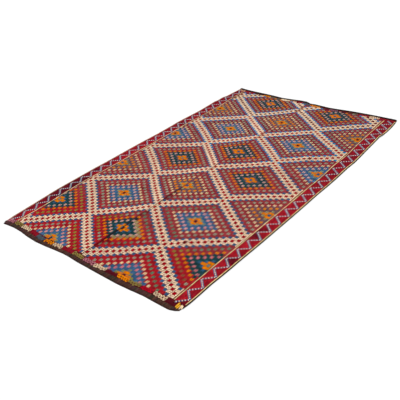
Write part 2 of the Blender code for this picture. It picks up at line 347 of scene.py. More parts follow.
def rib_cells(diamonds, i, j):
    """The motif cell that each rib belongs to. One between two cells takes the outer one."""
    middle = (np.floor(i * RIBS_PER_COLUMN) + 0.5) / RIBS_PER_COLUMN
    before = np.rint(middle - RIB_REACH)
    after = np.rint(middle + RIB_REACH)
    outer = ring_of(diamonds, after, j)[0] > ring_of(diamonds, before, j)[0]
    return np.where(outer, after, before)


def stretch_wool(stretches, diamond, ring, i, j, usual):
    """The wool of a ring's dash, where the weaver may have taken up another one."""
    half = "far" if j >= diamond.row else "near"
    for stretch in stretches:
        here = (stretch.column, stretch.row, stretch.ring) == (diamond.column, diamond.row, ring)
        here = here and stretch.half in (half, "both")
        if here and stretch.first <= i - diamond.column <= stretch.last:
            return stretch.wool
    return usual


def field_colours(panel, i, j, across, along):
    """Colour of the ground in motif cells."""
    ring, which = ring_of(panel.diamonds, i, j)
    inner = np.array([linear(d.ground) for d in panel.diamonds])[which]
    colours = np.where((ring >= RED_RING)[:, None], red_ground(across, along), inner)
    column = np.array([d.column for d in panel.diamonds])[which]
    row = np.array([d.row for d in panel.diamonds])[which]
    for stretch in panel.stretches:
        if stretch.ring % 2:
            here = (column == stretch.column) & (row == stretch.row) & (ring == stretch.ring)
            here &= (i - column >= stretch.first) & (i - column <= stretch.last)
            colours[here] = linear(stretch.wool)
    return np.where((ring >= CREAM_RING)[:, None], linear("lattice_ground"), colours)


def vertex_places(mesh):
    """Where the vertices of a mesh are."""
    places = np.zeros(len(mesh.vertices) * 3)
    mesh.vertices.foreach_get("co", places)
    return places.reshape(-1, 3)


def new_grid(name, columns, rows):
    """A closed slab of the given divisions, with its vertices' column, row and level."""
    bm = bmesh.new()
    bmesh.ops.create_grid(bm, x_segments=columns, y_segments=rows, size=0.5)
    upper = bmesh.ops.extrude_face_region(bm, geom=bm.faces[:])["geom"]
    upper = [part for part in upper if isinstance(part, bmesh.types.BMVert)]
    bmesh.ops.translate(bm, verts=upper, vec=(0, 0, 1))
    bmesh.ops.recalc_face_normals(bm, faces=bm.faces[:])
    mesh = bpy.data.meshes.new(name)
    bm.to_mesh(mesh)
    bm.free()
    places = vertex_places(mesh)
    column = np.rint((places[:, 0] + 0.5) * columns).astype(int)
    row = np.rint((places[:, 1] + 0.5) * rows).astype(int)
    return mesh, column, row, places[:, 2] > 0.5


def set_places(mesh, x, y, z):
    """Moves the vertices of a mesh to new places."""
    mesh.vertices.foreach_set("co", np.stack([x, y, z], axis=1).ravel())
    mesh.update()


def face_corners(mesh):
    """The vertex at each face corner, where each face's corners start, and how many it has."""
    corners = np.zeros(len(mesh.loops), dtype=int)
    starts = np.zeros(len(mesh.polygons), dtype=int)
    mesh.loops.foreach_get("vertex_index", corners)
    mesh.polygons.foreach_get("loop_start", starts)
    return corners, starts, np.diff(np.append(starts, len(corners)))


def face_mean(mesh, values):
    """Mean over each face's corners of a value at the vertices."""
    corners, starts, sizes = face_corners(mesh)
    return np.add.reduceat(np.asarray(values, dtype=float)[corners], starts) / sizes


def paint(mesh, face_colours):
    """Stores one colour for each face."""
    corners, _, sizes = face_corners(mesh)
    rgba = np.ones((len(corners), 4))
    rgba[:, :3] = np.repeat(np.clip(face_colours, 0, 1), sizes, axis=0)
    layer = mesh.color_attributes.new(name="yarn", type="FLOAT_COLOR", domain="CORNER")
    layer.data.foreach_set("color", rgba.ravel())


MAP_LEAN = 0.5                 # how far the map leans, so that walls keep some width
MAP_HALF = 0.495               # the share of its width that either side of the cloth takes
UNDERSIDE_NORMAL = -0.5        # faces that point lower than this belong to the underside


def map_from_above(mesh):
    """A map as seen from straight above. The underside has its right half to itself."""
    corners, _, sizes = face_corners(mesh)
    places = vertex_places(mesh)
    normals = np.zeros(len(mesh.polygons) * 3)
    mesh.polygons.foreach_get("normal", normals)
    leaning = places[:, :2] + MAP_LEAN * places[:, 2:]
    low, high = leaning.min(axis=0), leaning.max(axis=0)
    across = ((leaning - low) / (high - low))[corners]
    under = np.repeat(normals.reshape(-1, 3)[:, 2] < UNDERSIDE_NORMAL, sizes)
    across[:, 0] = MAP_HALF * across[:, 0] + (1 - MAP_HALF) * under
    layer = mesh.uv_layers.new(name="OFBake")
    layer.data.foreach_set("uv", across.ravel())


def finish_piece(name, mesh, material):
    """Puts a mesh in the scene as a piece of the rug."""
    map_from_above(mesh)
    mesh.shade_smooth()
    mesh.materials.append(material)
    piece = bpy.data.objects.new(name, mesh)
    bpy.context.scene.collection.objects.link(piece)
    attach(piece, "root")
    return piece


WEFT_STRAY_SCALE = 160         # the noise that bends the wefts, and how far it bends them
WEFT_STRAY_DETAIL = 2
WEFT_BEND = 5.0
WEFT_PAINTED_SHADES = (0.82, 1.08)     # painted shade between wefts and painted light on them, as shares of the colour
WEFT_RELIEF = 0.3              # how far wefts stand out, next to slubs
SLUB_DRAWN = (1.0, 0.4, 1.0)   # slubs and streaks are longer along the ribs than across them
SLUB_DETAIL = 3
SLUB_RANGE = (0.3, 0.7)
WOOL_ROUGHNESS = 0.95
WOOL_SPECULAR = 0.03
RELIEF_STRENGTH = 0.6


def new_node(tree, kind, fed, **settings):
    """A shader node. Each of its inputs is fed with a plain value or with another's output."""
    node = tree.nodes.new(kind)
    for setting, value in settings.items():
        setattr(node, setting, value)
    for name, value in fed.items():
        if isinstance(value, bpy.types.NodeSocket):
            tree.links.new(value, node.inputs[name])
        else:
            node.inputs[name].default_value = value
    return node


def worked_out(tree, operation, *values):
    """The output of one step of arithmetic."""
    fed = dict(enumerate(values))
    return new_node(tree, "ShaderNodeMath", fed, operation=operation).outputs[0]


def spread(tree, value, least, most, start, stop):
    """A value's range from least to most, spread from start to stop."""
    fed = {"Value": value, "From Min": least, "From Max": most, "To Min": start, "To Max": stop}
    return new_node(tree, "ShaderNodeMapRange", fed).outputs[0]


def wool_group():
    """Spun wool: uneven dye, streaks along the ribs and fine wefts with painted shade between them, as
    a colour and a height.
    """
    group = bpy.data.node_groups.new("spun wool", "ShaderNodeTree")
    sockets = [
        ("Dye", "INPUT", "NodeSocketColor"), ("Weft pitch", "INPUT", "NodeSocketFloat"),
        ("Slub size", "INPUT", "NodeSocketFloat"), ("Unevenness", "INPUT", "NodeSocketFloat"),
        ("Colour", "OUTPUT", "NodeSocketColor"), ("Height", "OUTPUT", "NodeSocketFloat"),
    ]
    for name, side, kind in sockets:
        group.interface.new_socket(name, in_out=side, socket_type=kind)
    given = group.nodes.new("NodeGroupInput").outputs
    place = group.nodes.new("ShaderNodeTexCoord").outputs["Object"]

    # Thin wefts lie across the ribs, one after another along the rug.
    along = new_node(group, "ShaderNodeSeparateXYZ", {0: place}).outputs["Y"]
    fed = {"Vector": place, "Scale": WEFT_STRAY_SCALE, "Detail": WEFT_STRAY_DETAIL}
    stray = new_node(group, "ShaderNodeTexNoise", fed).outputs["Fac"]
    bend = worked_out(group, "MULTIPLY", stray, WEFT_BEND)
    passed = worked_out(group, "DIVIDE", along, given["Weft pitch"])
    wefts = worked_out(group, "SINE", worked_out(group, "MULTIPLY_ADD", passed, 2 * pi, bend))

    drawn = new_node(group, "ShaderNodeMapping", {"Vector": place, "Scale": SLUB_DRAWN}).outputs[0]
    fed = {"Vector": drawn, "Scale": given["Slub size"], "Detail": SLUB_DETAIL}
    slubs = new_node(group, "ShaderNodeTexNoise", fed).outputs["Fac"]
    darker = worked_out(group, "SUBTRACT", 1.0, given["Unevenness"])
    lighter = worked_out(group, "ADD", 1.0, given["Unevenness"])
    shade = spread(group, slubs, *SLUB_RANGE, darker, lighter)
    # Painted shade between the wefts and painted light on their tops.
    shade = worked_out(group, "MULTIPLY", shade, spread(group, wefts, -1.0, 1.0, *WEFT_PAINTED_SHADES))
    fed = {0: given["Dye"], "Scale": shade}
    dyed = new_node(group, "ShaderNodeVectorMath", fed, operation="SCALE").outputs["Vector"]
    height = worked_out(group, "MULTIPLY_ADD", wefts, WEFT_RELIEF, slubs)
    new_node(group, "NodeGroupOutput", {"Colour": dyed, "Height": height})
    return group


SPUN_WOOL = wool_group()


def wool_material(name, weft_pitch, slub_size, unevenness, relief):
    """Matt wool that takes each face's own dye."""
    material = bpy.data.materials.new(name)
    material.use_nodes = True
    tree = material.node_tree
    shader = tree.nodes["Principled BSDF"]
    shader.inputs["Roughness"].default_value = WOOL_ROUGHNESS
    shader.inputs["Specular IOR Level"].default_value = WOOL_SPECULAR
    dye = new_node(tree, "ShaderNodeAttribute", {}, attribute_name="yarn").outputs["Color"]
    fed = {"Dye": dye, "Weft pitch": weft_pitch, "Slub size": slub_size, "Unevenness": unevenness}
    wool = new_node(tree, "ShaderNodeGroup", fed, node_tree=SPUN_WOOL)
    tree.links.new(wool.outputs["Colour"], shader.inputs["Base Color"])
    fed = {"Strength": RELIEF_STRENGTH, "Distance": relief, "Height": wool.outputs["Height"]}
    bump = new_node(tree, "ShaderNodeBump", fed)
    tree.links.new(bump.outputs["Normal"], shader.inputs["Normal"])
    return material


GROUND_WOOL = wool_material(
    "ribbed ground wool", weft_pitch=0.0024, slub_size=120, unevenness=0.26, relief=0.0006)

left_edge = outline("panel_left", 1, False, OUTLINE_MARGIN)
seam_on_left = outline("panel_left", 1, True, OUTLINE_MARGIN)
seam_on_right = outline("panel_right", 1, False, OUTLINE_MARGIN)
right_edge = outline("panel_right", 1, True, OUTLINE_MARGIN)
near_line = outline("end_band_near", 0, True, BAND_MARGIN)
far_line = outline("end_band_far", 0, False, BAND_MARGIN)


def stripe_x(side, y):
    """The inner stripe's middle at a place along the rug."""
    places = [s.along_m for s in INNER_STRIPE]
    values = [getattr(s, f"{side}_x") for s in INNER_STRIPE]
    return smooth(places, values, y + HALF_LENGTH) - HALF_WIDTH


# The zigzag of each border: how far along the rug the leg after each turn reaches, how far the
# corners stay from the inner stripe and from the panel's edge, and where some of the turns lie.
# The turns are the inner corners on the left and the outer ones on the right.
ZIGZAG_LEG = 0.057
CORNER_INSET = 0.014
Turn = namedtuple("Turn", "number along_m")
LEFT_TURNS = [
    Turn(0, 0.130), Turn(3, 0.475), Turn(8, 1.000), Turn(13, 1.530), Turn(20, 2.220), Turn(25, 2.730),
]
RIGHT_TURNS = [
    Turn(0, 0.130), Turn(3, 0.480), Turn(8, 1.020), Turn(13, 1.560), Turn(18, 2.120), Turn(24, 2.750),
]


def zigzag_corners(turns, start_x, turn_x):
    """The corners of one border's zigzag, from the near end to the far end."""
    numbers, places = zip(*turns)
    corners = []
    for n in range(-1, numbers[-1] + 2):
        y = smooth(numbers, places, n) - HALF_LENGTH
        corners.append((start_x(y), y))
        corners.append((turn_x(y + ZIGZAG_LEG), y + ZIGZAG_LEG))
    return np.array(corners, dtype=float)


left_corners = zigzag_corners(
    LEFT_TURNS, lambda y: stripe_x("left", y) - CORNER_INSET, lambda y: left_edge(y) + CORNER_INSET)
right_corners = zigzag_corners(
    RIGHT_TURNS, lambda y: right_edge(y) - CORNER_INSET, lambda y: stripe_x("right", y) + CORNER_INSET)


def border_red(panel, x, y):
    """The red of a panel's border at places beside its zigzag."""
    places = [lot.along_m for lot in BORDER_LOTS]
    inner = [getattr(lot, f"{panel.side}_inner") for lot in BORDER_LOTS]
    outer = [getattr(lot, f"{panel.side}_outer") for lot in BORDER_LOTS]
    zigzag_x = np.interp(y, panel.corners[:, 1], panel.corners[:, 0])
    is_inner = (x > zigzag_x) == (panel.side == "left")
    along = y + HALF_LENGTH
    wine = np.where(is_inner, np.interp(along, places, inner), np.interp(along, places, outer))[:, None]
    return linear("border_red") * (1 - wine) + linear("dark_wine") * wine


# One strip of ribs after another, from left to right: what it shows, how many ribs it has, and
# the motif columns that it spans.
Strip = namedtuple("Strip", "kind ribs start stop")
LEFT_STRIPS = [
    Strip("border", 11, -15.0, -12.6), Strip("stripe", 1, -12.6, -12.4),
    Strip("dark", 1, -12.4, -12.2), Strip("field", 1, -12.2, -35 / 3),
    Strip("motifs", 67, -35 / 3, 32 / 3), Strip("seam", 1, 32 / 3, 11.0),
]
RIGHT_STRIPS = [
    Strip("seam", 1, -11.0, -32 / 3), Strip("motifs", 66, -32 / 3, 34 / 3),
    Strip("field", 1, 34 / 3, 11.5), Strip("dark", 1, 11.5, 11.6),
    Strip("thin stripe", 1, 11.6, 11.8), Strip("dark", 1, 11.8, 11.9),
    Strip("border", 10, 11.9, 14.0), Strip("guard", 1, 14.0, 14.3),
]
STRIP_WOOL = {"guard": "pale_gold", "stripe": "salmon", "thin stripe": "apricot", "dark": "brown"}
DARK_LINE_FADES = (0.30, 0.50)  # where the right stripe's dark line grows thin
THIN_LINE = 0.25               # and how thin, as a share
OPEN_SEAM_PAINTED_SHADE = 0.50              # painted shade on the two ribs beside the open seam, as a share of their colour
SEAM_CLOSES = (0.98, 1.10)     # where the seam closes up, and they take their full colour


def left_lines(y, field_start, field_stop):
    """The lines between the left panel's strips at places along the rug."""
    stripe = stripe_x("left", y)
    inner = stripe + STRIPE_HALF_WIDTH
    return [left_edge(y), stripe - STRIPE_HALF_WIDTH, inner, inner + DARK_LINE_WIDTH, field_start,
            field_stop, seam_on_left(y)]


def right_dark_line(y):
    """How wide the dark line is between the right stripe and the field."""
    return DARK_LINE_WIDTH * np.interp(y + HALF_LENGTH, DARK_LINE_FADES, (1, THIN_LINE))


def right_lines(y, field_start, field_stop):
    """The lines between the right panel's strips at places along the rug."""
    edge = right_edge(y)
    stripe = stripe_x("right", y)
    inner = stripe - THIN_HALF_WIDTH
    outer = stripe + THIN_HALF_WIDTH
    return [seam_on_right(y), field_start, field_stop, inner - right_dark_line(y), inner, outer,
            outer + OUTER_LINE_WIDTH, edge - RIGHT_GUARD_WIDTH, edge]


def panel_cloth(panel, seed):
    """The ribbed cloth of one panel, in its woven colours, with painted shade in its valleys, creases
    and open seam and at its ends.
    """
    name, node, strips = f"{panel.side}_panel_cloth", f"panel_{panel.side}", panel.strips
    noise = np.random.default_rng(seed)
    row_count = int(LAST_ROW - FIRST_ROW) + 2 * END_STEPS
    j = np.interp(
        np.arange(row_count + 1), [END_STEPS, row_count - END_STEPS], [FIRST_ROW, LAST_ROW])
    motifs = [strip for strip in strips if strip.kind == "motifs"][0]
    lines = panel.lines_at(
        motif_place(panel, 0, j)[1], motif_place(panel, motifs.start, j)[0],
        motif_place(panel, motifs.stop, j)[0])

    # Every rib has four mesh columns, set close together at its sides.
    strip_of, share, crest = [], [], []
    for k, strip in enumerate(strips):
        for rib in range(strip.ribs):
            strip_of += [k] * len(RIB_PLACES)
            share += [(rib + place) / strip.ribs for place in RIB_PLACES]
            crest += RIB_PROFILE
    strip_of = np.array(strip_of + [len(strips) - 1])
    share = np.array(share + [1.0])
    crest = np.array(crest + [0.0])
    count = len(share) - 1
    start = np.array([strip.start for strip in strips])[strip_of]
    stop = np.array([strip.stop for strip in strips])[strip_of]
    column_i = start + share * (stop - start)

    # Columns follow the motifs in the field, and the lines of the border beside it.
    x = np.zeros((count + 1, row_count + 1))
    y = np.zeros_like(x)
    for c in range(count + 1):
        k = strip_of[c]
        near_motifs = np.clip(column_i[c], panel.columns[0] - 1, panel.columns[-1] + 1)
        x[c], y[c] = motif_place(panel, near_motifs, j)
        if strips[k].kind != "motifs":
            x[c] = lines[k] * (1 - share[c]) + lines[k + 1] * share[c]
        near = near_line(x[c, 0])
        far = far_line(x[c, -1])
        for step in range(END_STEPS):
            y[c, step] = near + (y[c, END_STEPS] - near) * step / END_STEPS
            y[c, -1 - step] = far + (y[c, -1 - END_STEPS] - far) * step / END_STEPS
    x[1:-1, 1:-1] += noise.normal(0, RIB_WOBBLE, (count - 1, row_count - 1))
    y[1:-1, 1:-1] += noise.normal(0, ROW_WOBBLE, (count - 1, row_count - 1))

    fine = np.array([strip.kind == "border" for strip in strips])[strip_of]
    height = np.where(fine, FINE_RIB_HEIGHT, RIB_HEIGHT) * crest
    lump = 1 + LUMP_SHARE * noise.normal(0, 1, x.shape)
    thickness = CLOTH_THICKNESS + height[:, None] * lump - CREASE_DEPTH * crease(x, y)[0]
    mesh, column, row, top = new_grid(name, count, row_count)
    z = np.where(top, (lift(x, y) + thickness)[column, row], lift(x, y)[column, row])
    set_places(mesh, x[column, row], y[column, row], z)

    # Colours go by the rib and row that a face lies in.
    face_c = np.clip(face_mean(mesh, column), 0, count - 0.5)
    face_r = np.clip(face_mean(mesh, row), 0.25, row_count - 0.25)
    c, r = face_c.astype(int), face_r.astype(int)
    face_i = np.interp(face_c, np.arange(count + 1), column_i)
    face_j = np.rint(np.interp(face_r, np.arange(row_count + 1), j))
    face_x = face_mean(mesh, x[column, row])
    face_y = face_mean(mesh, y[column, row])
    kind = np.array([strip.kind for strip in strips])[strip_of[c]]
    cells = rib_cells(panel.diamonds, face_i, face_j)
    colours = field_colours(panel, cells, face_j, face_x + HALF_WIDTH, face_y + HALF_LENGTH)
    for plain, wool in STRIP_WOOL.items():
        colours[kind == plain] = linear(wool)
    colours = np.where((kind == "border")[:, None], border_red(panel, face_x, face_y), colours)
    # Painted shade along the open seam, fading where the seam closes up.
    open_seam_painted_shade = np.interp(face_y + HALF_LENGTH, SEAM_CLOSES, (OPEN_SEAM_PAINTED_SHADE, 1.0))
    colours = np.where((kind == "seam")[:, None], colours * open_seam_painted_shade[:, None], colours)
    # End rows under the block stitches are dark wine: painted shade in the gaps between the stitches.
    at_end = (r < END_STEPS) | (r >= row_count - END_STEPS)
    colours[at_end] = linear("dark_wine")
    row_dye = 1 + ROW_DYE * noise.normal(0, 1, row_count)
    cell_dye = 1 + CELL_DYE * noise.normal(0, 1, (count // len(RIB_PLACES) + 1, row_count))
    # Painted shade: darker in the valleys between ribs and in the creases.
    in_valley = face_mean(mesh, crest[column]) < VALLEY_BELOW
    shade = np.where(in_valley, PAINTED_VALLEY_SHADE, 1.0) * crease(face_x, face_y)[1]
    paint(mesh, colours * (row_dye[r] * cell_dye[c // len(RIB_PLACES), r] * shade)[:, None])
    piece = finish_piece(name, mesh, GROUND_WOOL)
    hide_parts(node)


LEFT_PANEL = Panel(
    "left", LEFT_ROWS, LEFT_COLUMNS, -12, 10, LEFT_DIAMONDS, LEFT_STRETCHES, left_corners,
    LEFT_STRIPS, left_lines)
RIGHT_PANEL = Panel(
    "right", RIGHT_ROWS, RIGHT_COLUMNS, -11, 11, RIGHT_DIAMONDS, RIGHT_STRETCHES, right_corners,
    RIGHT_STRIPS, right_lines)
panel_cloth(LEFT_PANEL, seed=11)
panel_cloth(RIGHT_PANEL, seed=12)

# ---------------------------------------------------------------------------------------------
# Raised dashes. Each is two short wraps of coloured wool, side by side on two ribs, brocaded
# in while the cloth was woven. Together they draw the rings of the diamonds and the flowers.

ROW_PITCH = 0.0246
WRAP_FLOOR = 0.0018            # wraps start below the crests of the ribs
WRAP_ROUNDING = 0.26           # of their upper edges, as a share of their size
DASH_HEIGHT = 0.0027
RIB_OFFSET = 1 / 6             # of a column, from a dash's middle to its two ribs
WRAP_DYE = 0.09
STRAY_ACROSS = 0.0004          # how far wraps stray and turn, and how uneven their sizes are
STRAY_ALONG = 0.0006
STRAY_TURN = 0.05
UNEVEN_WIDTH = 0.05
UNEVEN_LENGTH = 0.06
END_CLEARANCE = 0.026          # the end bands' stitches cover the cloth this far in
SIDE_CLEARANCE = 0.004
RED_DASH_RING = 12             # the lattice's own dashes
BLUE_DASH_RING = 10            # and the blue ones along its sides
DARK_DASHES_FROM = 2.35        # farther along the rug the lattice's dashes are darker
BRIGHT_BLUE_FROM = 1.65        # and the blue ones brighter

# The two wraps of a dash: how wide each is, how long as a share of the row pitch, and how far
# it leans to the left. Lattice dashes are wide, and two of them in the right panel are thick.
Wrap = namedtuple("Wrap", "width length turn")
RED_WRAP = Wrap(0.0108, 1.00, 0.0)
BLUE_WRAP = Wrap(0.0104, 0.96, 0.0)
RING_WRAP = Wrap(0.0058, 1.02, radians(-4))
ORANGE_WRAP = Wrap(0.0068, 1.10, radians(-4))  # of the rings around the mauve diamonds' flowers
THICK_WRAP = Wrap(0.0125, 1.70, 0.0)
THICK_DASHES = [(3, 17), (6, 72)]  # their columns and rows
PETAL_WIDTH = 0.0102
HEART_WRAP = Wrap(PETAL_WIDTH, 1.0, 0.0)

# The flower's petals: on which ribs out from its middle, and from which row to which.
Petal = namedtuple("Petal", "out_columns first_row last_row")
PETALS = [
    Petal(1 / 6, 0.50, 1.60), Petal(3 / 6, 0.00, 0.52), Petal(3 / 6, 0.52, 1.50),
    Petal(5 / 6, 0.00, 0.56), Petal(7 / 6, 0.00, 0.56), Petal(9 / 6, 0.00, 0.50),
]


def wrap_shape(rounding, segments):
    """One short wrap of yarn, one unit wide, long and high, with its upper edges rounded."""
    bm = bmesh.new()
    bmesh.ops.create_cube(bm, size=1.0)
    bmesh.ops.translate(bm, verts=bm.verts[:], vec=(0, 0, 0.5))
    upper = [e for e in bm.edges if max(v.co.z for v in e.verts) > 0.9]
    bmesh.ops.bevel(
        bm, geom=upper, affect="EDGES", offset=rounding, segments=segments, profile=0.5, material=-1)
    bmesh.ops.recalc_face_normals(bm, faces=bm.faces[:])
    return bm


Spot = namedtuple("Spot", "x y floor width length height turn wool")


def joined_copies(name, shape, spots, seed):
    """One mesh of many wraps that lie on the cloth, each in its own wool."""
    noise = np.random.default_rng(seed)
    base = np.array([v.co for v in shape.verts])
    faces = [[v.index for v in f.verts] for f in shape.faces]
    shape.free()
    places = np.array([spot[:-1] for spot in spots], dtype=float)
    sized = base[None] * places[:, None, 3:6]
    cos, sin = np.cos(places[:, 6, None]), np.sin(places[:, 6, None])
    x = places[:, 0, None] + sized[..., 0] * cos - sized[..., 1] * sin
    y = places[:, 1, None] + sized[..., 0] * sin + sized[..., 1] * cos
    z = places[:, 2, None] + sized[..., 2] + lift(x, y) - CREASE_DEPTH * crease(x, y)[0]
    points = np.stack([x, y, z], axis=-1).reshape(-1, 3)
    copies = [[v + n * len(base) for v in face] for n in range(len(spots)) for face in faces]
    mesh = bpy.data.meshes.new(name)
    mesh.from_pydata(points, [], copies)
    dyes = np.array([linear(spot.wool) for spot in spots])
    dyes *= 1 + WRAP_DYE * noise.normal(0, 1, (len(spots), 1))
    # Painted shade of the creases also darkens the wraps that lie in them.
    dyes *= crease(places[:, 0], places[:, 1])[1][:, None]
    paint(mesh, np.repeat(dyes, len(faces), axis=0))
    return mesh


WRAP_WOOL = wool_material(
    "raised wrap wool", weft_pitch=0.0031, slub_size=140, unevenness=0.20, relief=0.0008)


def field_start(y):
    """Where the left panel's field starts."""
    return stripe_x("left", y) + STRIPE_HALF_WIDTH + DARK_LINE_WIDTH


def field_stop(y):
    """Where the right panel's field stops."""
    return stripe_x("right", y) - THIN_HALF_WIDTH - right_dark_line(y)


FIELD_SIDES = {"left": (field_start, seam_on_left), "right": (seam_on_right, field_stop)}
Laid = namedtuple("Laid", "i j wrap height wool")


def laid_wraps(name, panel, laid, noise, seed):
    """A piece of wraps laid on a panel. None lie over its sides or under the end stitches."""
    x, y = motif_place(panel, np.array([item.i for item in laid]), np.array([item.j for item in laid]))
    first_limit, last_limit = FIELD_SIDES[panel.side]
    inside = (first_limit(y) + SIDE_CLEARANCE < x) & (x < last_limit(y) - SIDE_CLEARANCE)
    inside &= (near_line(x) + END_CLEARANCE < y) & (y < far_line(x) - END_CLEARANCE)
    spots = []
    for n in np.flatnonzero(inside):
        wrap = laid[n].wrap
        spots.append(Spot(
            x[n] + noise.normal(0, STRAY_ACROSS), y[n] + noise.normal(0, STRAY_ALONG), WRAP_FLOOR,
            wrap.width * (1 + noise.normal(0, UNEVEN_WIDTH)),
            wrap.length * ROW_PITCH * (1 + noise.normal(0, UNEVEN_LENGTH)),
            laid[n].height, wrap.turn + noise.normal(0, STRAY_TURN), laid[n].wool))
    mesh = joined_copies(name, wrap_shape(WRAP_ROUNDING, 1), spots, seed)
    finish_piece(name, mesh, WRAP_WOOL)


def dash_wool(panel, diamond, ring, i, j, along):
    """The wool of a dash by its steps from the diamond's middle, and the size of its wraps."""
    if panel.side == "right" and (i, j) in THICK_DASHES:
        return "dark_dash", THICK_WRAP
    if ring >= RED_DASH_RING:
        return "dark_dash" if along > DARK_DASHES_FROM else "red_dash", RED_WRAP
    if ring == BLUE_DASH_RING:
        return "bright_blue" if along > BRIGHT_BLUE_FROM else "blue", BLUE_WRAP
    usual = {8: "sage", 6: diamond.six, 4: diamond.four, 2: diamond.two}[ring]
    wool = stretch_wool(panel.stretches, diamond, ring, i, j, usual)
    return wool, ORANGE_WRAP if (ring, wool) == (4, "orange") else RING_WRAP


def panel_dashes(panel, seed):
    """All raised dashes and flowers of one panel."""
    noise = np.random.default_rng(seed)
    laid = []
    cells = np.arange(panel.first, panel.last + 1)
    for j in range(int(FIRST_ROW), int(LAST_ROW) + 1):
        along = motif_place(panel, 0, j)[1] + HALF_LENGTH
        steps, which = ring_of(panel.diamonds, cells, j)
        for n in np.flatnonzero(((cells + j) % 2 == 0) & (steps > 0)):
            diamond = panel.diamonds[which[n]]
            wool, wrap = dash_wool(panel, diamond, int(steps[n]), cells[n], j, along)
            for side in (-1, 1):
                laid.append(Laid(cells[n] + side * RIB_OFFSET, j, wrap, DASH_HEIGHT, wool))
    for diamond in panel.diamonds:
        for side in (-1, 1):
            i = diamond.column + side * RIB_OFFSET
            laid.append(Laid(i, diamond.row, HEART_WRAP, DASH_HEIGHT, diamond.heart))
            for petal in PETALS:
                i = diamond.column + side * petal.out_columns
                length = petal.last_row - petal.first_row
                for end in (-1, 1):
                    middle = diamond.row + end * (petal.first_row + length / 2)
                    laid.append(Laid(i, middle, Wrap(PETAL_WIDTH, length, 0.0), DASH_HEIGHT, "flame"))
    laid_wraps(f"{panel.side}_panel_dashes", panel, laid, noise, seed)


panel_dashes(LEFT_PANEL, seed=21)
panel_dashes(RIGHT_PANEL, seed=22)

# ---------------------------------------------------------------------------------------------
# Cream lattice. Between the diamonds the cloth is covered with wraps of cream wool, two to a
# row on each rib, so that the bands between the blue dashes stand as high as the dashes do.

LATTICE_HEIGHT = 0.0024
WRAPS_PER_ROW = 2
LATTICE_WRAP = Wrap(0.0092, 0.84 / WRAPS_PER_ROW, radians(8))


def panel_lattice(panel, seed):
    """Cream wraps on every rib of the lattice that carries no dash."""
    noise = np.random.default_rng(seed)
    laid = []
    ribs = np.arange(panel.first * RIBS_PER_COLUMN - 1, panel.last * RIBS_PER_COLUMN + 2)
    middles = (ribs + 0.5) / RIBS_PER_COLUMN
    between = ribs % RIBS_PER_COLUMN == RIBS_PER_COLUMN // 2
    for j in range(int(FIRST_ROW), int(LAST_ROW) + 1):
        cells = rib_cells(panel.diamonds, middles, j)
        rings = ring_of(panel.diamonds, cells, j)[0]
        dashed = ~between & ((cells + j) % 2 == 0)
        for i in middles[(rings >= CREAM_RING) & ~dashed]:
            for n in range(WRAPS_PER_ROW):
                row = j + (n + 0.5) / WRAPS_PER_ROW - 0.5
                laid.append(Laid(i, row, LATTICE_WRAP, LATTICE_HEIGHT, "cream"))
    laid_wraps(f"{panel.side}_panel_lattice", panel, laid, noise, seed)


panel_lattice(LEFT_PANEL, seed=31)
panel_lattice(RIGHT_PANEL, seed=32)

# ---------------------------------------------------------------------------------------------
# Zigzags of the side borders, in raised wraps that all lean to the left. On the legs that lean
# the same way they lie end to end, cream between two lines of blue. On the other legs they
# cross the leg, cream and blue by turns.

ZIGZAG_STEPS = 5               # to one leg
ZIGZAG_HEIGHT = 0.0022
BORDER_CLEARANCE = 0.002
CREAM_LINE_WIDTH, CREAM_LINE_LENGTH = 0.0052, 0.66  # the length as a share of a step
BLUE_LINE_WIDTH, BLUE_LINE_LENGTH = 0.0054, 1.02
BLUE_LINE_ASIDE = 0.0053
CREAM_BAR_WIDTH, BLUE_BAR_WIDTH = 0.0060, 0.0070
BAR_LENGTH = 0.0125
ZIGZAG_STRAY = 0.0003
ZIGZAG_UNEVEN_LENGTH = 0.05
ZIGZAG_STRAY_TURN = 0.06
WOOL.update({"slate_blue": (78, 114, 150), "dull_cream": (232, 212, 200)})


def zigzag(name, corners, first_limit, last_limit, seed):
    """The wraps of one border's zigzag."""
    noise = np.random.default_rng(seed)
    spots = []

    def add_wrap(place, width, length, turn, wool):
        x, y = place
        within = first_limit(y) + BORDER_CLEARANCE < x < last_limit(y) - BORDER_CLEARANCE
        if within and near_line(x) + END_CLEARANCE < y < far_line(x) - END_CLEARANCE:
            spots.append(Spot(
                x + noise.normal(0, ZIGZAG_STRAY), y + noise.normal(0, ZIGZAG_STRAY), WRAP_FLOOR, width,
                length * (1 + noise.normal(0, ZIGZAG_UNEVEN_LENGTH)), ZIGZAG_HEIGHT,
                turn + noise.normal(0, ZIGZAG_STRAY_TURN), wool))

    for start, stop in zip(corners, corners[1:]):
        way = stop - start
        step = np.hypot(*way) / ZIGZAG_STEPS
        turn = np.arctan2(abs(way[0]), way[1])
        aside = np.array([way[1], -way[0]]) / np.hypot(*way) * BLUE_LINE_ASIDE
        for k in range(ZIGZAG_STEPS):
            middle = start + way * (k + 0.5) / ZIGZAG_STEPS
            if way[0] < 0:
                add_wrap(middle, CREAM_LINE_WIDTH, step * CREAM_LINE_LENGTH, turn, "cream")
                for line in (middle - aside, middle + aside):
                    add_wrap(line, BLUE_LINE_WIDTH, step * BLUE_LINE_LENGTH, turn, "slate_blue")
            else:
                add_wrap(middle, CREAM_BAR_WIDTH, BAR_LENGTH, turn, "dull_cream")
                add_wrap(middle + way / ZIGZAG_STEPS / 2, BLUE_BAR_WIDTH, BAR_LENGTH, turn, "blue")
    mesh = joined_copies(name, wrap_shape(WRAP_ROUNDING, 1), spots, seed)
    finish_piece(name, mesh, WRAP_WOOL)


zigzag(
    "left_border_zigzag", left_corners, left_edge, lambda y: stripe_x("left", y) - STRIPE_HALF_WIDTH,
    seed=41)
zigzag(
    "right_border_zigzag", right_corners, lambda y: stripe_x("right", y) + THIN_HALF_WIDTH, right_edge,
    seed=42)

# ---------------------------------------------------------------------------------------------
# Seam stitches. The two panels lie edge to edge, and slanting whip stitches of thin wool draw
# them together all along the middle of the rug.

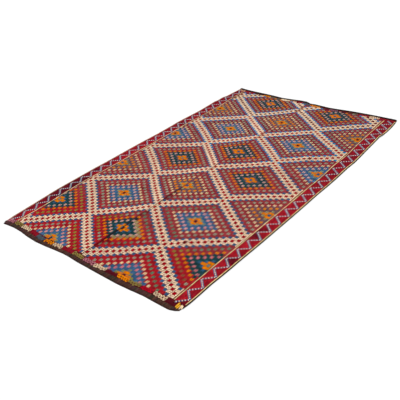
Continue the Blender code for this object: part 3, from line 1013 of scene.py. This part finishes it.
SEAM_PITCH = 0.0125
SEAM_WIDTH, SEAM_LENGTH, SEAM_HEIGHT = 0.0095, 0.0034, 0.0018
SEAM_FLOOR = 0.0022
SEAM_TURN = radians(24)
SEAM_STRAY = 0.0008
SEAM_STRAY_TURN = 0.08
SEAM_SEED = 51
BROWN_THREAD_END = 0.18        # nearer than this the thread is dark brown
OPEN_SEAM_END = 1.05           # and nearer than this it is dark wine where it crosses red ground, painted shade of the open seam
FIRST_CROSSING = 0.085         # where the cream lattice crosses the seam, and every so far on
CROSSING_PITCH = 0.640
CROSSING_REACH = 0.060         # the thread is pale this far to both sides of a crossing
SEAM_END_CLEARANCE = 0.020

noise = np.random.default_rng(SEAM_SEED)
spots = []
seam_start = near_line(seam_on_left(-HALF_LENGTH)) + SEAM_END_CLEARANCE
seam_stop = far_line(seam_on_left(HALF_LENGTH)) - SEAM_END_CLEARANCE
for y in np.arange(seam_start, seam_stop, SEAM_PITCH):
    along = y + HALF_LENGTH
    past_crossing = (along - FIRST_CROSSING + CROSSING_PITCH / 2) % CROSSING_PITCH - CROSSING_PITCH / 2
    if along < BROWN_THREAD_END:
        wool = "brown"
    # Along the open seam the thread is darker: painted shade of the seam.
    elif along < OPEN_SEAM_END:
        wool = "straw" if abs(past_crossing) < CROSSING_REACH else "dark_wine"
    else:
        wool = "cream" if abs(past_crossing) < CROSSING_REACH else "old_wine"
    spots.append(Spot(
        (seam_on_left(y) + seam_on_right(y)) / 2, y + noise.normal(0, SEAM_STRAY), SEAM_FLOOR,
        SEAM_WIDTH, SEAM_LENGTH, SEAM_HEIGHT, SEAM_TURN + noise.normal(0, SEAM_STRAY_TURN), wool))
stitches = joined_copies("seam_stitches", wrap_shape(rounding=0.3, segments=2), spots, SEAM_SEED)
finish_piece("seam_stitches", stitches, WRAP_WOOL)

# ---------------------------------------------------------------------------------------------
# End bands. Across each short end runs a heading of dark brown wool, closely wrapped over the
# ends of the warps, so that it is ridged along the rug. Its outer edge is rounded.

RIDGE_PITCH = 0.0088
RIDGE_HEIGHT = 0.0010
NEAR_THICKNESS = 0.0032
FAR_THICKNESS = 0.0048         # the far band is rolled up a little
NEAR_SHADE = 1.0
FAR_SHADE = 0.35               # and its colour is darker all over
BAND_ROWS = (0.0, 0.05, 0.16, 0.34, 0.58, 0.84, 1.0)  # mesh rows, from the outer edge inwards
BAND_PROFILE = (0.28, 0.66, 0.90, 1.0, 1.0, 1.0, 0.80)
# Painted shade on the band's rounded outer rim, by mesh row from the outer edge inwards, with a touch
# of painted light further in.
BAND_RIM_PAINTED_SHADE = (0.55, 0.66, 0.80, 1.0, 1.05, 1.0)
RIDGE_DYE = 0.16
BAND_SIDE = 0.0004             # kept clear at both ends of a band
RIDGE_WOOLS = ("warm_brown", "warm_brown", "warm_brown", "dark_plum", "dark_olive")
WOOL.update({"warm_brown": (88, 58, 48), "dark_plum": (78, 50, 54), "dark_olive": (64, 56, 44)})

BAND_WOOL = wool_material(
    "wrapped dark wool", weft_pitch=0.0022, slub_size=150, unevenness=0.30, relief=0.0007)


def end_band(name, node, outer_line, inner_line, thickness, band_shade, seed):
    """The ridged dark band across one end."""
    noise = np.random.default_rng(seed)
    low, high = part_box(node)
    ridges = int((high[0] - low[0]) / RIDGE_PITCH)
    share = [(rib + place) / ridges for rib in range(ridges) for place in RIB_PLACES] + [1.0]
    crest = np.array(list(RIB_PROFILE) * ridges + [0.0])
    x = low[0] + BAND_SIDE + np.array(share) * (high[0] - low[0] - 2 * BAND_SIDE)
    outer, inner = outer_line(x), inner_line(x)
    inward, profile, rim_painted_shade = np.array(BAND_ROWS), np.array(BAND_PROFILE), np.array(BAND_RIM_PAINTED_SHADE)
    if outer.mean() > inner.mean():
        inward, profile, rim_painted_shade = inward[::-1], profile[::-1], rim_painted_shade[::-1]
    mesh, column, row, top = new_grid(name, len(x) - 1, len(inward) - 1)
    y = outer[column] * (1 - inward[row]) + inner[column] * inward[row]
    height = profile[row] * (thickness + RIDGE_HEIGHT * crest[column])
    set_places(mesh, x[column], y, lift(x[column], y) + top * height)
    face_r = np.clip(face_mean(mesh, row), 0, len(rim_painted_shade) - 0.5).astype(int)
    # Painted shade in the valleys between ridges and on the rounded outer rim.
    in_valley = face_mean(mesh, crest[column]) < VALLEY_BELOW
    shade = np.where(in_valley, PAINTED_VALLEY_SHADE, 1.0) * rim_painted_shade[face_r] * band_shade
    ridge_wools = np.array([linear(wool) for wool in RIDGE_WOOLS])
    ridge_dyes = ridge_wools[noise.integers(0, len(RIDGE_WOOLS), ridges + 1)]
    ridge_dyes *= 1 + RIDGE_DYE * noise.normal(0, 1, (ridges + 1, 1))
    ridge = (face_mean(mesh, column) / len(RIB_PLACES)).astype(int)
    paint(mesh, ridge_dyes[ridge] * shade[:, None])
    piece = finish_piece(name, mesh, BAND_WOOL)
    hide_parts(node)


near_edge = outline("end_band_near", 0, False, BAND_MARGIN)
far_edge = outline("end_band_far", 0, True, BAND_MARGIN)
end_band("near_end_band", "end_band_near", near_edge, near_line, NEAR_THICKNESS, NEAR_SHADE, seed=61)
end_band("far_end_band", "end_band_far", far_edge, far_line, FAR_THICKNESS, FAR_SHADE, seed=62)

# ---------------------------------------------------------------------------------------------
# Wrapped blocks along both end bands. Leftover wools in many colours are sewn over the line
# between cloth and band, one block of a colour after another. Most pale and bright wools lie
# in open chain loops, four or five to a block, and the others in plain wraps side by side.

Stitch = namedtuple("Stitch", "pitch width length height")
NEAR_LOOP = Stitch(0.0200, 0.0190, 0.034, 0.0038)
NEAR_WRAP = Stitch(0.0112, 0.0108, 0.036, 0.0030)
FAR_LOOP = Stitch(0.0200, 0.0190, 0.036, 0.0018)
FAR_WRAP = Stitch(0.0112, 0.0108, 0.036, 0.0017)
STITCH_FLOOR = 0.0022
NEAR_STITCH_MIDDLE = 0.0165    # from the band's inner line into the cloth
FAR_STITCH_MIDDLE = 0.0150
LOOP_YARN = 0.25               # thickness of a loop's yarn, as a share of the loop
LOOP_STEPS, YARN_SIDES = 14, 8
BLOCK_ROUNDING = 0.34          # of a wrap's upper edges
UNEVEN_STITCH = 0.13
STRAY_STITCH = 0.0026          # how far a stitch strays from the line
STITCH_LEAN = 0.18             # and how far it leans, in radians

# Where each block starts and stops across the rug, from the straight near left corner.
Block = namedtuple("Block", "start_m stop_m stitch wool")
NEAR_BLOCKS = [
    Block(0.000, 0.072, "loop", "mauve_pink"), Block(0.076, 0.161, "loop", "ripe_moss"),
    Block(0.163, 0.261, "loop", "sand"), Block(0.263, 0.348, "wrap", "wine_red"),
    Block(0.352, 0.436, "wrap", "slate"), Block(0.438, 0.525, "loop", "orange"),
    Block(0.527, 0.612, "loop", "sand"), Block(0.614, 0.717, "wrap", "wine_red"),
    Block(0.720, 0.822, "loop", "ripe_moss"), Block(0.828, 0.930, "loop", "mauve_pink"),
    Block(0.936, 1.036, "loop", "sand"), Block(1.038, 1.130, "wrap", "deep_wine"),
    Block(1.134, 1.228, "loop", "orange"), Block(1.230, 1.326, "loop", "ripe_moss"),
    Block(1.330, 1.422, "loop", "scarlet"), Block(1.430, 1.530, "loop", "sand"),
    Block(1.534, 1.602, "wrap", "deep_wine"), Block(1.606, 1.632, "wrap", "ochre"),
    Block(1.634, 1.652, "wrap", "sand"),
]
FAR_BLOCKS = [
    Block(0.020, 0.095, "loop", "tan_pink"), Block(0.100, 0.215, "wrap", "wine_red"),
    Block(0.220, 0.312, "wrap", "brown"), Block(0.318, 0.400, "loop", "orange"),
    Block(0.406, 0.524, "wrap", "dusk"), Block(0.528, 0.620, "wrap", "sand"),
    Block(0.622, 0.685, "loop", "tan_pink"), Block(0.690, 0.752, "wrap", "wine_red"),
    Block(0.758, 0.838, "wrap", "slate"), Block(0.845, 0.945, "loop", "orange"),
    Block(0.950, 1.040, "wrap", "deep_wine"), Block(1.045, 1.125, "loop", "dull_mauve"),
    Block(1.130, 1.210, "wrap", "deep_wine"), Block(1.212, 1.262, "wrap", "brown"),
    Block(1.266, 1.312, "wrap", "dusk"), Block(1.316, 1.412, "wrap", "wine_red"),
    Block(1.420, 1.512, "loop", "sand"), Block(1.516, 1.650, "wrap", "wine_red"),
]
WOOL.update({
    "mauve_pink": (190, 118, 130), "tan_pink": (214, 160, 130), "ripe_moss": (150, 135, 70),
    "sand": (236, 208, 170), "wine_red": (136, 18, 34), "deep_wine": (86, 16, 28),
    "scarlet": (200, 15, 40), "slate": (74, 84, 92), "ochre": (226, 164, 44),
    "dusk": (92, 82, 68),
})


def loop_shape():
    """One loop of yarn, one unit wide, long and high."""
    bm = bmesh.new()
    bmesh.ops.create_circle(bm, cap_ends=False, segments=YARN_SIDES, radius=LOOP_YARN / 2)
    upright = Matrix.Translation(((1 - LOOP_YARN) / 2, 0, 0)) @ Matrix.Rotation(pi / 2, 4, "X")
    bmesh.ops.transform(bm, matrix=upright, verts=bm.verts[:])
    bmesh.ops.spin(
        bm, geom=bm.verts[:] + bm.edges[:], cent=(0, 0, 0), axis=(0, 0, 1), angle=2 * pi,
        steps=LOOP_STEPS, use_merge=True)
    bmesh.ops.translate(bm, verts=bm.verts[:], vec=(0, 0, LOOP_YARN / 2))
    bmesh.ops.scale(bm, verts=bm.verts[:], vec=(1, 1, 1 / LOOP_YARN))
    bmesh.ops.recalc_face_normals(bm, faces=bm.faces[:])
    return bm


def block_wrap_shape():
    """One plain wrap of the blocks."""
    return wrap_shape(BLOCK_ROUNDING, 2)


def wrapped_blocks(name, blocks, kind, stitch, shape, line, inward, seed):
    """The stitches of one kind along one end band."""
    noise = np.random.default_rng(seed)
    spots = []
    for block in blocks:
        if block.stitch == kind:
            room = block.stop_m - block.start_m
            stitches = max(1, round(room / stitch.pitch))
            for n in range(stitches):
                x = block.start_m + room * (n + 0.5) / stitches - HALF_WIDTH
                width = min(stitch.width, room / stitches) * (1 + UNEVEN_STITCH * noise.normal())
                length = stitch.length * (1 + UNEVEN_STITCH * noise.normal())
                spots.append(Spot(
                    x, line(x) + inward + STRAY_STITCH * noise.normal(), STITCH_FLOOR, width, length,
                    stitch.height, STITCH_LEAN * noise.normal(), block.wool))
    finish_piece(name, joined_copies(name, shape, spots, seed), WRAP_WOOL)


near_side = (near_line, NEAR_STITCH_MIDDLE)
far_side = (far_line, -FAR_STITCH_MIDDLE)
wrapped_blocks(
    "near_block_loops", NEAR_BLOCKS, "loop", NEAR_LOOP, loop_shape(), *near_side, seed=71)
wrapped_blocks(
    "near_block_wraps", NEAR_BLOCKS, "wrap", NEAR_WRAP, block_wrap_shape(), *near_side, seed=72)
wrapped_blocks(
    "far_block_loops", FAR_BLOCKS, "loop", FAR_LOOP, loop_shape(), *far_side, seed=73)
wrapped_blocks(
    "far_block_wraps", FAR_BLOCKS, "wrap", FAR_WRAP, block_wrap_shape(), *far_side, seed=74)

# ---------------------------------------------------------------------------------------------
# Selvedge cords. A thick cord of warps along each long side is overcast with wool, turn against
# turn, so that it is ridged at a slant. The left one is tan and the right one dark brown.

CORD_PITCH = 0.0062
RINGS_PER_TURN = 4
CORD_SIDES = 10
CORD_RIDGE = 0.16              # share of the cord's half width
CORD_GROOVE_PAINTED_SHADE = 0.55       # painted shade between two ridges, as a share of the colour
CORD_HEIGHT = 0.0038
CORD_SLANT = 0.9               # turns that a ridge leans by, around the cord
TURN_DYE = 0.18
WOOL.update({"tan_cord": (212, 176, 146), "dark_cord": (50, 32, 27)})


def selvedge_cord(name, node, wool, seed):
    """One overcast cord, closed at both ends."""
    noise = np.random.default_rng(seed)
    low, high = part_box(node)
    lower = outline(node, 1, False, BAND_MARGIN)
    upper = outline(node, 1, True, BAND_MARGIN)
    turns = int((high[1] - low[1]) / CORD_PITCH)
    bm = bmesh.new()
    bmesh.ops.create_cone(
        bm, cap_ends=True, cap_tris=False, segments=CORD_SIDES, radius1=1, radius2=1, depth=1)
    long_edges = [e for e in bm.edges if abs(e.verts[0].co.z - e.verts[1].co.z) > 0.5]
    bmesh.ops.subdivide_edges(bm, edges=long_edges, cuts=turns * RINGS_PER_TURN - 1, use_grid_fill=True)
    bmesh.ops.recalc_face_normals(bm, faces=bm.faces[:])
    mesh = bpy.data.meshes.new(name)
    bm.to_mesh(mesh)
    bm.free()
    places = vertex_places(mesh)
    along = places[:, 2] + 0.5
    y = low[1] + along * (high[1] - low[1])
    angle = np.arctan2(places[:, 1], places[:, 0])
    wave = np.cos(2 * pi * along * turns + CORD_SLANT * angle)
    swell = 1 - CORD_RIDGE * (0.5 - 0.5 * wave)
    middle, half = (lower(y) + upper(y)) / 2, (upper(y) - lower(y)) / 2
    x = middle + half * swell * np.cos(angle)
    z = CORD_HEIGHT / 2 * (1 + swell * np.sin(angle))
    set_places(mesh, x, y, z + lift(x, y))
    turn_dye = 1 + TURN_DYE * noise.normal(0, 1, turns + 1)
    turn = np.clip(face_mean(mesh, along) * turns, 0, turns).astype(int)
    # Painted shade in the grooves between the ridges.
    on_ridge = 0.5 + 0.5 * face_mean(mesh, wave)
    shade = CORD_GROOVE_PAINTED_SHADE + (1 - CORD_GROOVE_PAINTED_SHADE) * on_ridge
    paint(mesh, linear(wool) * (turn_dye[turn] * shade)[:, None])
    piece = finish_piece(name, mesh, BAND_WOOL)
    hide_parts(node)


selvedge_cord("left_selvedge_cord", "selvedge_left", "tan_cord", seed=81)
selvedge_cord("right_selvedge_cord", "selvedge_right", "dark_cord", seed=82)

# ---------------------------------------------------------------------------------------------
# Floor, light and camera. The camera stands where the photograph was taken from.

CAMERA_PLACE = Vector((2.5737, -3.0154, 2.1613))
CAMERA_TARGET = Vector((0.1885, -0.4491, 0.0))
CAMERA_ROLL = radians(-6.21)
CAMERA_LENS = 52.0
CAMERA_SENSOR = 36.0
FLOOR_SIZE = 60
FLOOR_COLOUR = (0.94, 0.94, 0.94, 1)
FLOOR_ROUGHNESS = 0.9
SKY_COLOUR = (1, 1, 1, 1)
SKY_STRENGTH = 0.88
LAMP_STRENGTH = 1.2
LAMP_SOFTNESS = radians(12)
LAMP_WAY = Vector((3.5, -1.5, -3.2))

camera_data = bpy.data.cameras.new("camera")
camera_data.lens = CAMERA_LENS
camera_data.sensor_width = CAMERA_SENSOR
camera = bpy.data.objects.new("camera", camera_data)
bpy.context.scene.collection.objects.link(camera)
look = (CAMERA_TARGET - CAMERA_PLACE).to_track_quat("-Z", "Y").to_matrix().to_4x4()
camera.matrix_world = Matrix.Translation(CAMERA_PLACE) @ look @ Matrix.Rotation(CAMERA_ROLL, 4, "Z")
bpy.context.scene.camera = camera

floor_mesh = bpy.data.meshes.new("floor")
bm = bmesh.new()
bmesh.ops.create_grid(bm, x_segments=1, y_segments=1, size=FLOOR_SIZE)
bm.to_mesh(floor_mesh)
bm.free()
floor = bpy.data.objects.new("floor", floor_mesh)
bpy.context.scene.collection.objects.link(floor)
floor_paint = bpy.data.materials.new("pale floor")
floor_paint.use_nodes = True
floor_shader = floor_paint.node_tree.nodes["Principled BSDF"]
floor_shader.inputs["Base Color"].default_value = FLOOR_COLOUR
floor_shader.inputs["Roughness"].default_value = FLOOR_ROUGHNESS
floor_mesh.materials.append(floor_paint)

world = bpy.data.worlds.new("studio")
world.use_nodes = True
sky = world.node_tree.nodes["Background"].inputs
sky["Color"].default_value = SKY_COLOUR
sky["Strength"].default_value = SKY_STRENGTH
bpy.context.scene.world = world
lamp_data = bpy.data.lights.new("lamp", "SUN")
lamp_data.energy = LAMP_STRENGTH
lamp_data.angle = LAMP_SOFTNESS
lamp = bpy.data.objects.new("lamp", lamp_data)
lamp.rotation_euler = LAMP_WAY.to_track_quat("-Z", "Y").to_euler()
bpy.context.scene.collection.objects.link(lamp)
bpy.context.scene.view_settings.view_transform = "Standard"
